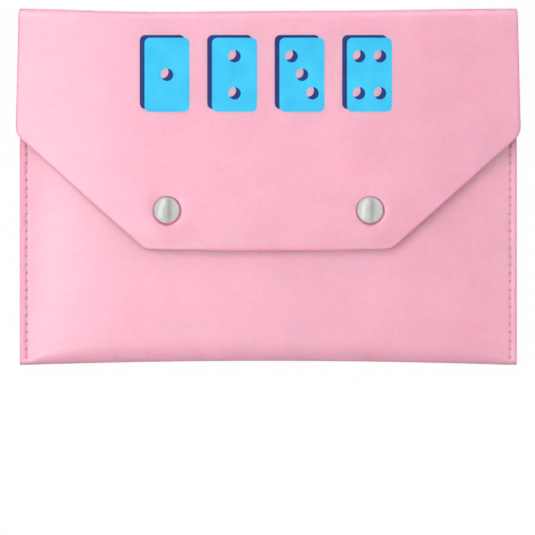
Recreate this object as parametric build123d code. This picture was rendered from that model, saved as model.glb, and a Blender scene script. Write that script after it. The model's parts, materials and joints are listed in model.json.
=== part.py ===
"""Envelope pouch for mahjong cards: a sewn pocket of soft coated sheet, closed by a flap with two ring snaps.

The pouch lies on its back. X runs across it, +Y runs towards the flap's fold and +Z stands up out of the front.
The origin is under the middle of the outline, on the face that the pouch rests on. Lengths are in millimetres.
"""
import math
import os

from build123d import *

# Outline, seen from the front
pouch_width = 199.6
pouch_length = 143.0  # from the bottom corners to the crest of the flap's fold
bottom_draw = 1.6  # how far the filled pocket draws the bottom fold up between its corners
fold_overhang = 0.4  # the flap past each side of the pocket, where it leaves the fold
shoulder_overhang = 1.6  # the same at the flap's shoulders
shoulder_setback = 50.4  # from the crest of the fold to the shoulders
flap_reach = 96.6  # from the crest of the fold to the flap's straight edge
flap_edge_width = 99.0
shoulder_round = 6.0
tip_round = 3.0
mouth_setback = 12.0  # from the crest of the fold to the pocket's mouth

# Sheets
shell_thickness = 1.1
lining_thickness = 0.35
glue_gap = 0.05

# Fill: clear height inside the pocket at the bottom fold, in the middle and at the mouth
bottom_fill = 4.1
middle_fill = 4.8
mouth_fill = 4.4
fill_power = 7.0  # how steeply the front rises from the side seams
foot_cut = 0.5  # depth by which the rounded back is cut flat where it rests

# Flap
fold_radius = 6.2
flap_side_droop = 1.2  # how much lower the flap's edge is at its sides than in the middle

# Side seams
seam_margin = 4.2  # pressed flat from the side edge inwards
seam_gap = 0.1
lining_weld = 1.0  # how far inside the seam line the linings part
stitch_inset = 2.7
stitch_pitch = 3.4
stitch_end_inset = 2.8  # from the bottom corner to the first needle hole
mouth_end_inset = 1.6
thread_width = 0.5
groove_depth = 0.4
groove_width = 0.9
needle_hole_width = 0.7
thread_play = 0.02
leg_width = 0.44
stitch_crown = 0.05  # the thread's top above the sheet, halfway between two holes
stitch_dip = 0.18  # and below it, at a hole

# Ring snaps
snap_spacing = 81.4
snap_edge_inset = 15.7  # from the flap's straight edge to the snaps' axes
seat_depth = 0.15  # how far the fittings are pressed into the sheets
closed_gap = 0.05
play = 0.03  # between fittings that are riveted together
cap_radius = 5.2
cap_rise = 2.3
cap_roll = 0.55  # radius of the rolled rim
cap_sheet = 0.35
cap_lip = 0.25
rivet_outer = 1.6
rivet_inner = 1.25
rivet_lip = 0.4
rivet_lip_height = 0.25
socket_radius = 4.8
socket_height = 2.4
socket_sheet = 0.4
socket_mouth = 2.75
spring_wire = 0.45
spring_inner = 2.25
spring_gap_degrees = 40.0
stud_flange_radius = 4.5
stud_flange = 0.5
stud_height = 2.15
stud_neck = 2.1
stud_head = 2.45
stud_swell = 1.68  # height at which the head is widest
stud_sheet = 0.35
post_disc_radius = 4.3
post_disc = 0.45
post_outer = 1.45
post_inner = 1.1
post_lip = 0.2

# Print on the flap: a row of plain game tiles with round pips and an offset shade
tile_width = 18.0
tile_height = 29.6
tile_pitch = 27.0
tile_round = 2.2
print_top_setback = 12.0  # from the crest of the fold to the tops of the tiles
print_thickness = 0.1
shade_shift = (-1.9, 1.1)
pip_radius = 2.5
pip_spread = 4.2
pip_rise = 7.4

# Places worked out from the sizes above
wall = shell_thickness + glue_gap + lining_thickness
half_width = pouch_width / 2
crest_y = pouch_length / 2
corner_y = -pouch_length / 2
hinge_y = crest_y - fold_radius
mouth_y = crest_y - mouth_setback
shoulder_y = crest_y - shoulder_setback
tip_y = crest_y - flap_reach
flap_run = hinge_y - tip_y
fold_height = 2 * fold_radius
seam_height = 2 * wall + seam_gap
seam_line = half_width - seam_margin
stitch_x = half_width - stitch_inset
snap_x = snap_spacing / 2
snap_y = tip_y + snap_edge_inset
sides = {"left": -1, "right": 1}
beyond = 5.0  # how far cutting shapes run past what they cut

# Shares of the seam line at which the pocket's outline is drawn, closest where the front rises steeply
station_shares = [0.0, 0.22, 0.42, 0.6, 0.74, 0.85, 0.93, 0.975]


def fill_share(x):
    """Share of the full fill at x: none at the inner line of the side seams, all of it in the middle."""
    reach = max(0.0, 1 - abs(x) / seam_line)
    return 1 - (1 - reach) ** fill_power


def front_height(x, fill):
    """Height of the front's outer face at x, on a line where the pocket's clear height in the middle is fill."""
    return seam_height + (2 * wall + fill - seam_height) * fill_share(x)


def fold_centre_y(x):
    """Y of the bottom fold's centre line."""
    bottom = corner_y + bottom_draw * (1 - (x / seam_line) ** 2)
    return bottom + (front_height(x, bottom_fill) + foot_cut) / 2


def front_z(x, y):
    """Height of the front's outer face."""
    start = fold_centre_y(x)
    share = (y - start) / (hinge_y - start)
    low, middle, high = (front_height(x, fill) for fill in (bottom_fill, middle_fill, mouth_fill))
    control = 2 * middle - (low + high) / 2
    return (1 - share) ** 2 * low + 2 * share * (1 - share) * control + share**2 * high


def pocket_outline(x, inset):
    """Closed outline of the pocket at x, drawn in by inset from its outer faces."""
    back = inset if inset else -foot_cut
    low, middle, high = (front_height(x, fill) - inset for fill in (bottom_fill, middle_fill, mouth_fill))
    centre = fold_centre_y(x)
    radius = (low - back) / 2
    bend = radius * math.sqrt(0.5)
    below, tip, above = (x, centre, back), (x, centre - radius, back + radius), (x, centre, low)
    mouth_top, mouth_back = (x, hinge_y, high), (x, hinge_y, back)
    control = (x, (centre + hinge_y) / 2, 2 * middle - (low + high) / 2)
    return Wire(
        [
            Line(mouth_back, below),
            ThreePointArc(below, (x, centre - bend, back + radius - bend), tip),
            ThreePointArc(tip, (x, centre - bend, back + radius + bend), above),
            Bezier(above, control, mouth_top),
            Line(mouth_top, mouth_back),
        ]
    )


def pocket_body(inset, reach, margins):
    """The pocket's shape drawn in by inset, to reach on each side, with its flat seam margins if asked."""
    stations = [reach * share for share in station_shares] + [reach]
    stations = [-x for x in reversed(stations[1:])] + stations
    body = Solid.make_loft([pocket_outline(x, inset) for x in stations])
    for side in sides.values() if margins else []:
        start = Face(pocket_outline(side * seam_line, inset))
        body = body + Solid.extrude(start, Vector(side * (seam_margin + margins), 0, 0))
    return body


def block(low, high):
    """Box between two corners."""
    size = [b - a for a, b in zip(low, high)]
    middle = [(a + b) / 2 for a, b in zip(low, high)]
    return Pos(*middle) * Box(*size)


def above_mouth(back_thickness):
    """What is cut away past the pocket's mouth: all but the back."""
    wide = half_width + beyond
    return block((-wide, mouth_y, back_thickness), (wide, hinge_y + beyond, fold_height + beyond))


def needle_holes_y():
    """Y of each needle hole along a side seam."""
    start = corner_y + stitch_end_inset
    count = int((mouth_y - mouth_end_inset - start) / stitch_pitch) + 1
    return [start + i * stitch_pitch for i in range(count)]


def needle_holes():
    """Every needle hole, as one cutting shape a side."""
    half = needle_hole_width / 2
    return [
        block((side * stitch_x - half, y - half, -beyond), (side * stitch_x + half, y + half, seam_height + beyond))
        for side in sides.values()
        for y in needle_holes_y()
    ]


def stitch_grooves():
    """The grooves that the stitches are pulled into, front and back of each side seam."""
    half = groove_width / 2
    holes = needle_holes_y()
    first, last = holes[0] - half, holes[-1] + half
    return [
        block((side * stitch_x - half, first, low), (side * stitch_x + half, last, low + groove_depth))
        for side in sides.values()
        for low in (0, seam_height - groove_depth)
    ]


def rod(x, y, radius, low, high):
    """Upright cylinder between two heights."""
    return Pos(x, y, (low + high) / 2) * Cylinder(radius, high - low)


# Heights of the snaps' seats
stud_seat = front_z(snap_x, snap_y) - seat_depth
post_seat = front_z(snap_x, snap_y) - wall + seat_depth / 2
socket_foot = stud_seat + stud_flange + closed_gap
socket_seat = socket_foot + socket_height
flap_under_snap = socket_seat - seat_depth / 2
cap_seat = flap_under_snap + wall - seat_depth

# The flap's fall from its fold, chosen so that it meets the sockets' seats
snap_share = (hinge_y - snap_y) / flap_run
side_droop_at_snap = flap_side_droop * (snap_x / half_width) ** 2
flap_drop = (fold_height - wall - flap_under_snap) / snap_share**2 - side_droop_at_snap


def flap_top(x, y):
    """Height of the flap's outer face."""
    share = (hinge_y - y) / flap_run
    return fold_height - (flap_drop + flap_side_droop * (x / half_width) ** 2) * share**2


def flap_layer(low, high):
    """The sheet between two depths under the flap's outer face, wider and longer than the flap."""
    wide = half_width + shoulder_overhang + beyond
    far = tip_y - beyond
    outlines = []
    for share in (-1, -0.5, 0, 0.5, 1):
        x = wide * share
        fold, end = flap_top(x, hinge_y), flap_top(x, far)
        middle = (hinge_y + far) / 2
        outlines.append(
            Wire(
                [
                    Bezier((x, hinge_y, fold - low), (x, middle, fold - low), (x, far, end - low)),
                    Line((x, far, end - low), (x, far, end - high)),
                    Bezier((x, far, end - high), (x, middle, fold - high), (x, hinge_y, fold - high)),
                    Line((x, hinge_y, fold - high), (x, hinge_y, fold - low)),
                ]
            )
        )
    return Solid.make_loft(outlines)


def flap_outline():
    """The flap seen from the front: flaring sides, slanting shoulders and a straight edge."""
    at_fold = half_width + fold_overhang
    at_shoulder = half_width + shoulder_overhang
    at_tip = flap_edge_width / 2
    right = [(at_fold, hinge_y), (at_shoulder, shoulder_y), (at_tip, tip_y)]
    left = [(-x, y) for x, y in reversed(right)]
    face = make_face(Polyline(*right, *left, close=True))
    corners = face.vertices().sort_by(Axis.Y)
    face = fillet(corners[:2], tip_round)
    shoulders = [v for v in face.vertices() if abs(v.Y - shoulder_y) < play]
    return fillet(shoulders, shoulder_round)


def upright(face):
    """A cutting shape with this outline seen from the front, taller than the whole pouch."""
    return Pos(0, 0, -beyond) * extrude(face, fold_height + 4 * beyond)


def seats(height_low, height_high, radius):
    """Round pockets that a pair of fittings is pressed into."""
    return [rod(side * snap_x, snap_y, radius + play, height_low, height_high) for side in sides.values()]


def snap_holes(radius):
    """The round holes that a pair of rivets passes through."""
    return seats(-beyond, fold_height + beyond, radius)


def above_back(cutters):
    """Cutting shapes kept clear of the pouch's back."""
    clear = block((-pouch_width, -pouch_length, wall + seam_gap), (pouch_width, pouch_length, fold_height * 3))
    return [cutter & clear for cutter in cutters]


def pouch_shell():
    """The outer sheet: front, bottom fold and back in one piece, open at the sides and the mouth."""
    body = pocket_body(0, seam_line, margins=play)
    side_trim = block((-half_width, -pouch_length, 0), (half_width, hinge_y, fold_height))
    body = (body & side_trim) - pocket_body(shell_thickness, seam_line, margins=beyond)
    body = body - above_mouth(shell_thickness)
    body = body - above_back(snap_holes(post_outer))
    body = body - seats(stud_seat, fold_height, stud_flange_radius)
    return body - stitch_grooves() - needle_holes()


def pouch_lining():
    """The inner sheet, glued to the shell and pressed together between the seam margins."""
    body = pocket_body(shell_thickness + glue_gap, seam_line, margins=play)
    side_trim = block((-half_width, -pouch_length, 0), (half_width, hinge_y, fold_height))
    body = (body & side_trim) - pocket_body(wall, seam_line - lining_weld, margins=0)
    body = body - above_mouth(wall)
    body = body - above_back(snap_holes(post_outer))
    body = body - seats(wall + seam_gap, post_seat, post_disc_radius)
    return body - needle_holes()


def fold_strip(outer, inner):
    """Half a tube between the back and the flap, as wide as each of them where it meets it."""
    tube = Cylinder(outer, 2 * pouch_width) - Cylinder(inner, 3 * pouch_width)
    tube = Pos(0, hinge_y, fold_radius) * Rot(0, 90, 0) * tube
    half = block((-pouch_width, hinge_y, -beyond), (pouch_width, crest_y + beyond, fold_height + beyond))
    at_flap = half_width + fold_overhang
    ends = Polyline(
        (-half_width, 0, 0), (half_width, 0, 0), (at_flap, 0, fold_height), (-at_flap, 0, fold_height), close=True
    )
    across = Solid.extrude(Face(Wire(ends.edges())), Vector(0, 2 * pouch_length, 0))
    return tube & half & across


def flap_shell():
    """The flap's outer sheet."""
    body = flap_layer(0, shell_thickness) & upright(flap_outline())
    body = body - snap_holes(rivet_outer)
    return body - seats(cap_seat, fold_height + beyond, cap_radius)


def flap_lining():
    """The flap's inner sheet."""
    body = flap_layer(shell_thickness + glue_gap, wall) & upright(flap_outline())
    body = body - snap_holes(rivet_outer)
    return body - seats(0, socket_seat, socket_radius)


def seam_thread(side, over, top):
    """One thread of a lockstitch seam, from its runs along a face down to where the two threads meet.

    over is the height of that face and top is 1 for the front's thread and -1 for the back's.
    """
    holes = needle_holes_y()
    middle = seam_height / 2 + top * thread_play
    bed = over - top * (groove_depth - thread_play)
    dip, crown = over - top * stitch_dip, over + top * (stitch_crown if top > 0 else -thread_play)
    half = leg_width / 2
    x = side * stitch_x - thread_width / 2
    edges = [
        ThreePointArc((x, a, dip), (x, (a + b) / 2, crown), (x, b, dip)) for a, b in zip(holes, holes[1:])
    ]
    under = [(x, holes[-1], dip), (x, holes[-1] + half, dip)]
    for y in reversed(holes):
        under += [(x, y + half, bed), (x, y + half, middle), (x, y - half, middle), (x, y - half, bed)]
    under += [(x, holes[0] - half, dip), (x, holes[0], dip)]
    outline = Wire(edges + Polyline(*under).edges())
    return Solid.extrude(Face(outline), Vector(thread_width, 0, 0))


def turned(points, x, y, z):
    """A turned fitting: the outline in radius and height, revolved and stood at a place.

    A point with a third value starts an arc through the next point.
    """
    edges = []
    count = len(points)
    i = 0
    while i < count:
        here = points[i]
        arc = len(here) == 3
        after = points[(i + (2 if arc else 1)) % count]
        start, end = (here[0], 0, here[1]), (after[0], 0, after[1])
        if arc:
            through = points[i + 1]
            edges.append(ThreePointArc(start, (through[0], 0, through[1]), end))
        else:
            edges.append(Line(start, end))
        i += 2 if arc else 1
    return Pos(x, y, z) * revolve(Face(Wire(edges)), Axis.Z)


def dome_middle(reach, low, high):
    """Point halfway out on a dome that is level at its crown: a circle's arc from (0, high) to (reach, low)."""
    rise = high - low
    radius = (reach**2 + rise**2) / (2 * rise)
    return reach / 2, high - radius + math.sqrt(radius**2 - (reach / 2) ** 2)


def snap_cap(side):
    """The domed cap, which runs smoothly into a rim rolled under the rivet's head."""
    rim = cap_radius - cap_roll
    above_roll = cap_rise - cap_roll
    dome = (rim**2 + above_roll**2 - cap_roll**2) / (2 * (above_roll - cap_roll))
    start = math.asin(rim / (dome - cap_roll))
    halfway = (start + math.pi) / 2
    shoulder = (rim + cap_roll * math.sin(start), cap_roll * (1 + math.cos(start)))
    ceiling = cap_rise - cap_sheet
    wall_top = cap_rise - dome + math.sqrt((dome - cap_sheet) ** 2 - rim**2)
    return turned(
        [
            (0, cap_rise, "arc"),
            dome_middle(*shoulder, cap_rise),
            (*shoulder, "arc"),
            (rim + cap_roll * math.sin(halfway), cap_roll * (1 + math.cos(halfway))),
            (rim, 0),
            (rim - cap_lip, 0),
            (rim - cap_lip, cap_lip - play),
            (rim, cap_lip - play),
            (rim, wall_top, "arc"),
            dome_middle(rim, wall_top, ceiling),
            (0, ceiling),
        ],
        side * snap_x,
        snap_y,
        cap_seat,
    )


def snap_rivet(side):
    """The tubular rivet that the cap is rolled onto, flared inside the socket."""
    head = cap_radius - cap_roll - play
    web = socket_seat - socket_sheet - cap_seat - play
    foot = web - rivet_lip_height
    return turned(
        [
            (rivet_inner, cap_lip + cap_sheet),
            (head, cap_lip + cap_sheet),
            (head, cap_lip),
            (rivet_outer, cap_lip),
            (rivet_outer, web),
            (rivet_outer + rivet_lip, web),
            (rivet_outer + rivet_lip, foot),
            (rivet_inner, foot),
        ],
        side * snap_x,
        snap_y,
        cap_seat,
    )


def snap_socket(side):
    """The socket: a rolled cup with a chamber for the spring ring."""
    chamber = socket_radius - socket_sheet
    soft = socket_sheet / 2
    return turned(
        [
            (rivet_outer + play, socket_height),
            (socket_radius - soft, socket_height),
            (socket_radius, socket_height - soft),
            (socket_radius, soft),
            (socket_radius - soft, 0),
            (socket_mouth + soft, 0),
            (socket_mouth, soft),
            (socket_mouth, socket_sheet),
            (chamber, socket_sheet),
            (chamber, socket_height - socket_sheet),
            (rivet_outer + play, socket_height - socket_sheet),
        ],
        side * snap_x,
        snap_y,
        socket_foot,
    )


def snap_spring(side):
    """The split ring of wire that grips the stud under its head."""
    wire = spring_wire / 2
    ring = Torus(spring_inner + wire, wire)
    reach = 2 * socket_radius
    angle = math.radians(spring_gap_degrees / 2)
    gap = Polyline(
        (0, 0), (reach, -reach * math.tan(angle)), (reach, reach * math.tan(angle)), close=True
    )
    ring = ring - Pos(0, 0, -spring_wire) * extrude(make_face(gap), 2 * spring_wire)
    return Pos(side * snap_x, snap_y, socket_foot + socket_sheet + wire + play) * ring


def snap_stud(side):
    """The hollow stud that the socket snaps over."""
    soft = stud_sheet / 2
    hollow = stud_neck - stud_sheet
    return turned(
        [
            (post_outer + play, 0),
            (stud_flange_radius - soft, 0),
            (stud_flange_radius, soft),
            (stud_flange_radius - soft, stud_flange),
            (stud_neck + soft, stud_flange),
            (stud_neck, stud_flange + soft),
            (stud_neck, stud_height / 2),
            (stud_head, stud_swell, "arc"),
            (stud_head - soft / 2, stud_height - soft),
            (stud_head - 2 * soft, stud_height),
            (hollow - soft, stud_height),
            (hollow - soft, stud_height - stud_sheet),
            (hollow, stud_height - stud_sheet - soft),
            (hollow, stud_flange - soft / 2),
            (post_outer + play, stud_flange - soft / 2),
        ],
        side * snap_x,
        snap_y,
        stud_seat,
    )


def snap_post(side):
    """The flat-headed post inside the pocket, flared inside the stud."""
    ledge = stud_seat + stud_flange - stud_sheet / 4 + play - post_seat
    return turned(
        [
            (post_inner, -post_disc),
            (post_disc_radius - post_disc / 2, -post_disc),
            (post_disc_radius, -post_disc / 2),
            (post_disc_radius, 0),
            (post_outer, 0),
            (post_outer, ledge),
            (post_outer + post_lip, ledge),
            (post_outer + post_lip, ledge + post_lip),
            (post_inner, ledge + post_lip),
        ],
        side * snap_x,
        snap_y,
        post_seat,
    )


def tile_faces():
    """The printed tiles seen from the front: four rounded blocks with one, two, three and four round pips."""
    middle_y = crest_y - print_top_setback - tile_height / 2
    layouts = [
        [(0, 0)],
        [(0, pip_rise), (0, -pip_rise)],
        [(-pip_spread, pip_rise), (0, 0), (pip_spread, -pip_rise)],
        [(-pip_spread, pip_rise), (pip_spread, pip_rise), (-pip_spread, -pip_rise), (pip_spread, -pip_rise)],
    ]
    faces = []
    for i, layout in enumerate(layouts):
        centre = tile_pitch * (i - (len(layouts) - 1) / 2)
        tile = Pos(centre, middle_y) * RectangleRounded(tile_width, tile_height, tile_round)
        for x, y in layout:
            tile = tile - Pos(centre + x, middle_y + y) * Circle(pip_radius)
        faces.append(tile)
    return faces


def printed(shade):
    """The tiles' print, or the shade beside it, as a thin layer on the flap."""
    layer = flap_layer(-print_thickness, 0)
    pieces = []
    for tile in tile_faces():
        solid = upright(tile)
        if shade:
            solid = Pos(*shade_shift, 0) * solid - solid
        pieces += (layer & solid).solids()
    return Compound(pieces)


def save(name, shape):
    """Writes one sub-part."""
    solids = shape.solids()
    export_step(Compound(solids) if len(solids) > 1 else solids[0], f"parts/{name}.step")


def fold_axes():
    """Y and Z of the two lines that the flap's fold turns about.

    Each is where a quarter of the fold's middle surface would turn if it unrolled at its own length.
    """
    middle_radius = fold_radius - wall / 2
    out = middle_radius * math.pi / 4
    up = middle_radius - out
    return (hinge_y + out, wall / 2 + up), (hinge_y + out, fold_height - wall / 2 - up)


def main():
    os.makedirs("parts", exist_ok=True)
    save("pouch_shell", pouch_shell())
    save("pouch_lining", pouch_lining())
    save("flap_fold_shell", fold_strip(fold_radius, fold_radius - shell_thickness))
    save("flap_fold_lining", fold_strip(fold_radius - shell_thickness - glue_gap, fold_radius - wall))
    save("flap_shell", flap_shell())
    save("flap_lining", flap_lining())
    save("printed_tiles", printed(shade=False))
    save("printed_tile_shades", printed(shade=True))
    for name, side in sides.items():
        save(f"{name}_seam_needle_thread", seam_thread(side, seam_height, 1))
        save(f"{name}_seam_bobbin_thread", seam_thread(side, 0, -1))
        save(f"{name}_snap_cap", snap_cap(side))
        save(f"{name}_snap_rivet", snap_rivet(side))
        save(f"{name}_snap_socket", snap_socket(side))
        save(f"{name}_snap_spring", snap_spring(side))
        save(f"{name}_snap_stud", snap_stud(side))
        save(f"{name}_snap_post", snap_post(side))
    back_axis, front_axis = fold_axes()
    print("fold axes (Y, Z):", [round(v, 4) for v in back_axis], [round(v, 4) for v in front_axis])
    print("snaps at", round(snap_x, 3), round(snap_y, 3), "post disc's underside", round(post_seat - post_disc, 3))
    print("pocket floor", round(wall, 3), "cap top", round(cap_seat + cap_rise, 3), "fold height", fold_height)
    print("flap drop", round(flap_drop, 3), "front at snap", round(front_z(snap_x, snap_y), 3))


main()
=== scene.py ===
"""Looks of the envelope pouch: its sheets, seams, print and snaps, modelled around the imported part.

Lengths are in millimetres, in the part's own frame, and become metres where a mesh is made.
X runs across the pouch, +Y towards the flap's fold and +Z out of the front.
"""
import json
import math

import bmesh
import bpy
import numpy as np
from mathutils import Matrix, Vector, geometry

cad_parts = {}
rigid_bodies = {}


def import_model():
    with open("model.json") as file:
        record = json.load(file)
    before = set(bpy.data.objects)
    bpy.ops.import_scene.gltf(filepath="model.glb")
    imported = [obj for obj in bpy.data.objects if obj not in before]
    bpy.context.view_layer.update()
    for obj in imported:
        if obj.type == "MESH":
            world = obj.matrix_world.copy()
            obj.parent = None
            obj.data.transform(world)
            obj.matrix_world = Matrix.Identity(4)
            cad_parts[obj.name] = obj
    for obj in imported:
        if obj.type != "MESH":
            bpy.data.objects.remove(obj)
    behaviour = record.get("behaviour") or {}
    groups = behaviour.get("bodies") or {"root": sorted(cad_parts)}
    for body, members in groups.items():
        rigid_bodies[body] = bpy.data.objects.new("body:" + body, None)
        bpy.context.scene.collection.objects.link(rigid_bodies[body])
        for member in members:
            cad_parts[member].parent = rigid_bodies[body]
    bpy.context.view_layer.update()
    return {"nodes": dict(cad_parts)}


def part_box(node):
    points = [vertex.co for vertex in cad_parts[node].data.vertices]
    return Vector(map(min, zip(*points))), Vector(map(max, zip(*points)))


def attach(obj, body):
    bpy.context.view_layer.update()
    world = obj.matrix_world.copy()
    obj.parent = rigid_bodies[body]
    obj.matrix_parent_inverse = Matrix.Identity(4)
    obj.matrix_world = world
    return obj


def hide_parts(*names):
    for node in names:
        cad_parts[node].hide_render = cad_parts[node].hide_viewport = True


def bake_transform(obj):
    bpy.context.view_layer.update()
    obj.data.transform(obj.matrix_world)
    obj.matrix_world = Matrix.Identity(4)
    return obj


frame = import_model()
MM = 0.001


def low(node, axis):
    """Lowest coordinate of a node of the part."""
    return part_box(node)[0]["xyz".index(axis)] / MM


def high(node, axis):
    """Highest coordinate of a node of the part."""
    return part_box(node)[1]["xyz".index(axis)] / MM


def middle(node, axis):
    """Middle coordinate of a node of the part."""
    return (low(node, axis) + high(node, axis)) / 2


# Sizes and places that the part gives
half_width = high("pouch_shell", "x")
crest_y = high("flap_fold_shell", "y")
corner_y = low("pouch_shell", "y")
fold_height = high("flap_fold_shell", "z")
hinge_y = low("flap_fold_shell", "y")
shoulder_half_width = high("flap_shell", "x")
tip_y = low("flap_shell", "y")
snap_x = middle("right_snap_cap", "x")
snap_y = middle("right_snap_cap", "y")
cap_seat = low("right_snap_cap", "z")
cap_radius = high("right_snap_cap", "x") - snap_x
socket_seat = high("right_snap_socket", "z")
socket_radius = high("right_snap_socket", "x") - snap_x
post_disc = 0.45  # thickness of the post's disc inside the pocket
post_seat = low("right_snap_post", "z") + post_disc
post_radius = high("right_snap_post", "x") - snap_x
stud_seat = low("right_snap_stud", "z")
stud_radius = high("right_snap_stud", "x") - snap_x
stitch_x = middle("right_seam_needle_thread", "x")
sides = {"left": -1, "right": 1}

# Sheets
shell = 1.1
glue = 0.05
lining = 0.35
wall = shell + glue + lining
seam_gap = 0.1
seam_height = 2 * wall + seam_gap
raw_edge = 0.34  # the rounded cut edge, past the flat of the sheet
edge_out_power, edge_up_power = 0.6, 0.7  # 1 and 1 would give half an ellipse
edge_band = 0.9  # width of the deeper colour along the cut edges, partly the edge's own colour and partly painted shade
lining_edge = 0.08
lining_setback = 0.3  # the lining's cut edge behind the shell's
lining_inset = lining_setback + lining_edge
disc_rim, disc_reach = 0.1, 2.0  # past a snap's disc: where the lining lies flat, and is free again
disc_gap = 0.005  # between the lining and the disc

# Pocket
mouth_y = 59.5
bottom_draw = 1.6
margin_line = 95.9  # where the front starts to rise inside each side seam
bottom_fill, middle_fill, mouth_fill = 4.1, 4.8, 4.4
fill_steepness = 7.0  # of the front's rise from the side seams
bottom_sag = 0.36  # share by which the front sinks towards the bottom fold
bottom_sag_reach = 20.0
fold_depth_corner, fold_depth_middle = 1.6, 8.5  # of the bottom fold, along Y
soft_height, soft_fade = 0.12, 6.0  # of slow waves on the front, which end over this distance
stud_rim, stud_reach = 0.15, 3.0  # past a stud's flange: where the front lies flat, and is free again

# Side seams
first_hole_y = -68.7
stitch_pitch = 3.4
hole_count = 38
hole_depth, hole_half_width, hole_half_length = 0.5, 0.36, 0.42
groove_depth, groove_reach = 0.13, 0.7
groove_shade_share = 0.1  # share of the needle holes' painted shade that the seam groove gets
seam_end, seam_end_steepness = 0.6, 3  # of the groove past the end holes, in stitches
seam_detail_fade = 1.2  # the seam's detail ends over this distance
pucker_height, pucker_reach, pucker_end = 0.1, 2.4, 0.4
slow_height, slow_reach = 0.09, 9  # of slow waves in from the seam
margin_flare = 0.07  # lift of the raw side edges
flare_start, flare_rise, flare_unevenness = 0.8, 1.6, 0.5
right_shift = 200.0  # gives the right seam other waves than the left

# Seam threads
thread_radius = 0.23
needle_sunk, bobbin_sunk = 0.18, 0.24  # of each thread's middle, below its face
thread_dip = 0.8  # into the needle holes
dip_share, rise_share = 0.07, 0.13  # of a stitch: down in a hole, and on the way up
back_shift = (0.14, -0.17)  # of the two runs where the ends are sewn back
thread_wander, wander_rate = 0.05, 0.7
plies, ply_depth, ply_lay = 3, 0.13, 1.3
thread_step = 0.17

# Fold over the top
crest_depth = crest_y - hinge_y
fold_overhang = 0.4
fold_pinch = 0.5  # how much narrower the crest is than the sheet beside it
fold_squareness = 3.2
side_sag = 4.2  # how much lower the flap's sides hang than its middle
side_sag_start, side_sag_power = 44.0, 2.2
crest_dip = 1.5  # about how far the crest falls short of its corners
crest_dips = ((0.9, -44, 46), (0.5, 32, 44))  # share, middle and reach of each
crest_dip_fade = 6
ridge_height, ridge_setback, ridge_reach = 0.1, 3.4, 2.9  # the ridge is set back from the hinge
ridge_rise = 3.0  # the ridge comes in over this height

# Flap
shoulder_y = 21.1
tip_half_width = 49.5
shoulder_round, tip_round = 6.0, 3.0
tip_bow, tip_bow_power = 0.75, 12
middle_droop, side_droop = 0.411, 1.2  # of the straight edge below the fold
tip_sag, tip_sag_start, tip_sag_power = 1.35, -8.5, 1.35  # how the free tip sinks towards the front
flap_soft_height, flap_soft_start = 0.16, 0.25  # of slow waves, which come in over this share of it
calm_inner, calm_outer = 6, 24  # radii round a snap between which the slow waves come in
dish_inner, dish_outer, dish_height = 4, 16, 0.13  # the flap dips to this height above the caps' seats
dent_rim, dent_reach = 0.1, 3.4  # past a cap: where the flap lies flat, and is free again
dent_depth = 0.01  # below the cap's seat
crease_depth, crease_reach, crease_rim = 0.6, 0.42, 0.05  # of the crease round each cap
crease_shift = (0.26, -0.4)  # the flap pulls away from its caps towards the lower right, which puts the crease's painted shade on the side of the caps' shadow
slant_share = 0.66  # distance to a slanted edge, as a share of that straight across
close_reach = 6.3  # round a snap, where the flap's rows and columns are closest

# The print: four plain tiles with round pips, and their offset shade
tile_size, tile_round, tile_pitch = np.array([18.0, 29.6]), 2.2, 27.0
tile_corner = tile_size / 2 - tile_round
print_setback = 12.0
print_rise, print_sunk = 0.07, 0.03  # of the film's faces, above and below the flap's
film_step, film_margin = 2.4, 3
shade_shift = (-1.9, 1.1)
pip_radius, pip_spread, pip_rise = 2.5, 4.2, 7.4

# Colours
sheet_dark, sheet_pale = (0.838, 0.345, 0.475), (0.883, 0.38, 0.514)
# the cut edges' own deeper colour, darkened as painted shade for the dark line under the flap's edges
sheet_edge_and_shade = (0.8, 0.22, 0.36)
# painted shade: the dark colour of the needle holes, the seam grooves and the crease round each cap
sheet_pinch = (0.42, 0.08, 0.17)
lining_dark, lining_pale = (0.8, 0.32, 0.44), (0.9, 0.44, 0.56)
thread_dark, thread_pale = (0.72, 0.28, 0.4), (0.86, 0.4, 0.52)
nickel_dark, nickel_pale = (0.56, 0.57, 0.55), (0.6, 0.61, 0.59)
wire_grey = (0.55, 0.55, 0.55)
sky_dark, sky_pale = (0.025, 0.52, 0.87), (0.045, 0.6, 0.94)
navy_dark, navy_pale = (0.004, 0.016, 0.14), (0.008, 0.026, 0.19)
floor_grey, floor_glow, floor_shade = (0.8, 0.8, 0.8), 0.94, (0.16, 0.16, 0.16)

# Light: each lamp's place and size in metres, power in watts, and whether the snaps mirror it
lamps = {
    "key": ((-0.85, 1.05, 1.5), (0.6, 0.6), 11.3, False),
    "side": ((-0.95, 0.2, 1.8), (4.0, 0.8), 4.2, True),
    "fill": ((1.2, 0.2, 1.5), (1.2, 1.2), 4.2, False),
    "sheen": ((-0.35, -0.14, 0.9), (0.6, 0.5), 3.1, False),
    "crest": ((0.0, 1.3, 0.45), (2.4, 0.8), 8.8, False),
}
ambient = 0.3
card_place, card_size, card_glow = (0.72, 0, 3.2), (1.15, 14), 0.65
floor_place, floor_size = (0, 0, -0.0003), (30, 30)

# Camera, in metres, with its sensor in millimetres
camera_x, camera_y, camera_height, picture_width = -0.0003, -0.0324, 2.5, 0.214
sensor_width = 36


def hill(x, centre, reach):
    """A smooth hill of height 1 at centre."""
    return np.exp(-(((x - centre) / reach) ** 2))


def ease(t):
    """Smooth step from 0 to 1."""
    t = np.clip(t, 0, 1)
    return t * t * (3 - 2 * t)


def waves(x, y, seed, count, shortest, longest):
    """Slow irregular waves of about unit height."""
    draw = np.random.default_rng(seed)
    total = 0
    for _ in range(count):
        length = draw.uniform(shortest, longest)
        turn = draw.uniform(0, math.pi)
        phase = draw.uniform(0, math.tau)
        total = total + np.sin(math.tau * (x * math.cos(turn) + y * math.sin(turn)) / length + phase)
    return total / math.sqrt(count)


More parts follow.
